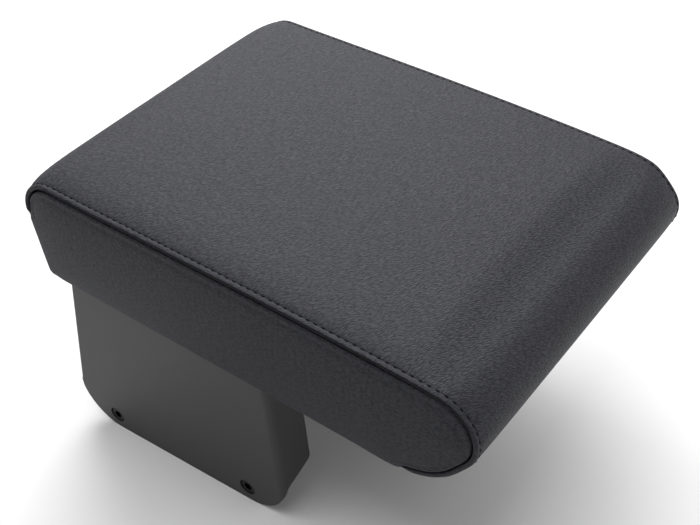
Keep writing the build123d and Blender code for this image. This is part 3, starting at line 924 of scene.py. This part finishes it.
def leather_side(side):
    """A side panel: tucked in below the fold, swollen by the foam, and turned under at its lower edge."""
    middle = (nose_foot / 2, 0.0)
    loop = section_line(middle, middle)
    loop = evenly(loop, int(length_of(loop) / loop_step))
    normals = outward(loop)
    inner_end = underside_front - underwrap
    hem = hem_share(loop, inner_end + fold_end)
    wide_hem = hem_share(loop, inner_end)
    edge = side_edge(loop, normals, hem)
    columns = int(lid_reach / sewing_grid)
    rows = int(lid_rear_thickness / sewing_grid)
    coarse = np.empty((rows + 1, columns + 1, 3))
    coarse[..., :2] = side_grid(edge, rows, columns)
    coarse[..., 2] = side * (lid_half - side_recess)
    pinned = np.zeros(coarse.shape[:2], bool)
    pinned[[0, -1]] = True
    pinned[:, [0, -1]] = True
    pushed = inflate(coarse, pinned, side_crown, flip=side > 0)
    row_places = graded(float(rows), side_fine_step, side_row_step, side_step_growth)
    column_places = graded(float(columns), side_fine_step, side_column_step, side_step_growth)
    fine = spline_at(spline_at(pushed, row_places, 0), column_places, 1)
    number, from_edge = nearest_on(edge, fine[..., :2].reshape(-1, 2))
    stand, slip = side_relief(loop, normals, hem, number, from_edge)
    # The panel's length lies on the hide as the top panel's width does, before it is turned
    hide = fine[..., 1::-1] * (-1.0, 1.0)
    fine[..., 2] += side * stand.reshape(fine.shape[:2])
    fine[..., :2] -= (normals[number] * slip[:, None]).reshape(fine[..., :2].shape)
    at_edge = nearest_on(edge, fine[0, :, :2])[0]
    flap, flap_hide = hem_flap(side, fine[0], hide[0], hem[at_edge], wide_hem[at_edge])
    fine = np.concatenate([flap, fine])
    turned = np.array([(cos(grain_lie), -sin(grain_lie)), (sin(grain_lie), cos(grain_lie))])
    hide = np.concatenate([flap_hide, hide]) @ turned
    name = "leather_side_left" if side > 0 else "leather_side_right"
    return grid_object(name, fine, hide, flip=side > 0)


def foam_core():
    """The foam block inside the leather, a little smaller than the room that it fills."""
    ring_points = 160
    full_ring = 0.97
    face_share = 0.9
    middle = (nose_foot / 2, 0.0)
    loop = evenly(section_line(middle, middle), ring_points)
    inner = loop - outward(loop) * foam_inset
    inner[-1] = inner[0]
    centre = inner.mean(axis=0)
    rings = []
    half_rings = ((1, 0.0), (1, face_share), (full_ring, 1.0))
    all_rings = [(-y, size) for y, size in half_rings] + list(half_rings[::-1])
    for y, size in all_rings:
        ring = np.empty((len(inner), 3))
        ring[:, :2] = centre + (inner - centre) * size
        ring[:, 2] = y * (lid_half - foam_inset)
        rings.append(ring)
    core = grid_object("foam_core", np.array(rings))
    # Joining the points that fall together closes the seam and the two poles
    weld_gap = 0.001 * MM
    welded = bmesh.new()
    welded.from_mesh(core.data)
    bmesh.ops.remove_doubles(welded, verts=welded.verts, dist=weld_gap)
    welded.to_mesh(core.data)
    welded.free()
    return core


def paper_floor():
    """The pale floor: matt paper that takes soft shadows and gives no gloss."""
    floor_size = 8.0
    bpy.ops.mesh.primitive_plane_add(size=floor_size)
    floor = bpy.context.object
    floor.name = "floor"
    material, _, shader = new_material("matt_paper_sweep")
    shader.inputs["Base Color"].default_value = linear("#e4e4e4")
    shader.inputs["Roughness"].default_value = 0.9
    floor.data.materials.append(material)


def studio_lamps():
    """Soft lamps round the armrest, each with its place, aim, size and power, in metres and watts."""
    middle = (0.0, 0.0, 0.1)
    lamps = (
        ("rear_left_softbox", (-0.75, 0.95, 1.15), middle, 1.3, 27.0),
        ("overhead_softbox", (-0.2, 0.0, 1.6), middle, 1.6, 22.5),
        ("front_left_fill", (-0.9, -1.2, 0.8), middle, 1.2, 1.5),
        ("table_light", (0.85, 0.4, 0.4), (0.8, 0.3, 0.0), 0.9, 3.5),
    )
    for name, place, aim, size, power in lamps:
        lamp = bpy.data.lights.new(name, "AREA")
        lamp.size = size
        lamp.energy = power
        holder = bpy.data.objects.new(name, lamp)
        holder.location = place
        holder.rotation_euler = (Vector(aim) - Vector(place)).to_track_quat("-Z", "Y").to_euler()
        bpy.context.scene.collection.objects.link(holder)


def studio_room():
    """White walls that give back a little of the light."""
    world = bpy.data.worlds.new("studio_room")
    world.use_nodes = True
    walls = world.node_tree.nodes["Background"]
    walls.inputs["Color"].default_value = linear("#ffffff")
    walls.inputs["Strength"].default_value = 0.25
    bpy.context.scene.world = world
    bpy.context.scene.view_settings.view_transform = "Standard"


def photo_camera():
    """The camera at the place and angle of the photograph's."""
    camera = bpy.data.cameras.new("camera")
    camera.lens = camera_lens
    holder = bpy.data.objects.new("camera", camera)
    bpy.context.scene.collection.objects.link(holder)
    ahead = Vector((
        -sin(camera_turn) * cos(camera_drop),
        cos(camera_turn) * cos(camera_drop),
        -sin(camera_drop),
    ))
    level = Vector((cos(camera_turn), sin(camera_turn), 0.0))
    upright = level.cross(ahead)
    right = level * cos(camera_roll) + upright * sin(camera_roll)
    up = upright * cos(camera_roll) - level * sin(camera_roll)
    turned = Matrix((right, up, -ahead)).transposed().to_4x4()
    holder.matrix_world = Matrix.Translation(camera_place) @ turned
    bpy.context.scene.camera = holder


leather = pebbled_leather()
# The grain of the metals, the nylon and the rubber is drawn coarser than the real one, so that it shows
finishes = {
    "black_abs": moulded_abs("black_abs_spark_texture", "#222223", "#252526", 0.55),
    "black_oxide_steel": finished_metal("black_oxide_steel", "#1c1c1d", 0.45, 0.4 * MM, 0.08),
    "zinc_steel": finished_metal("bright_zinc_plated_steel", "#b9bcc0", 0.32, 0.6 * MM, 0.1),
    "nylon": soft_solid("natural_nylon_moulded", "#d8d4c8", 0.5, 0.8 * MM, 0.02 * MM),
    "buffer_rubber": soft_solid("black_rubber_moulded", "#161616", 0.8, 0.5 * MM, 0.04 * MM),
    "seat_foam": soft_solid("grey_polyurethane_foam", "#8c867b", 0.95, 1.2 * MM, 0.4 * MM),
}
for part in frame["record"]["subparts"]:
    if part["material_slot"] in finishes:
        skin = frame["nodes"][part["node"]].data.materials
        skin.clear()
        skin.append(finishes[part["material_slot"]])

top = leather_top()
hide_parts("top_cover")
soft_pieces = [top]
thread = sewing_thread()
row_maker = stitch_tree()
for side, side_name in ((-1, "right"), (1, "left")):
    panel = leather_side(side)
    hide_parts("side_cover_" + side_name)
    soft_pieces.append(panel)
    soft_pieces.append(leather_fold(side))
    stitches = stitch_row(side, row_maker, thread)
    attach(stitches, "lid")
core = foam_core()
core.data.materials.append(finishes["seat_foam"])
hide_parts("foam_pad")
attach(core, "lid")
for piece in soft_pieces:
    piece.data.materials.append(leather)
    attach(piece, "lid")

paper_floor()
studio_lamps()
studio_room()
photo_camera()
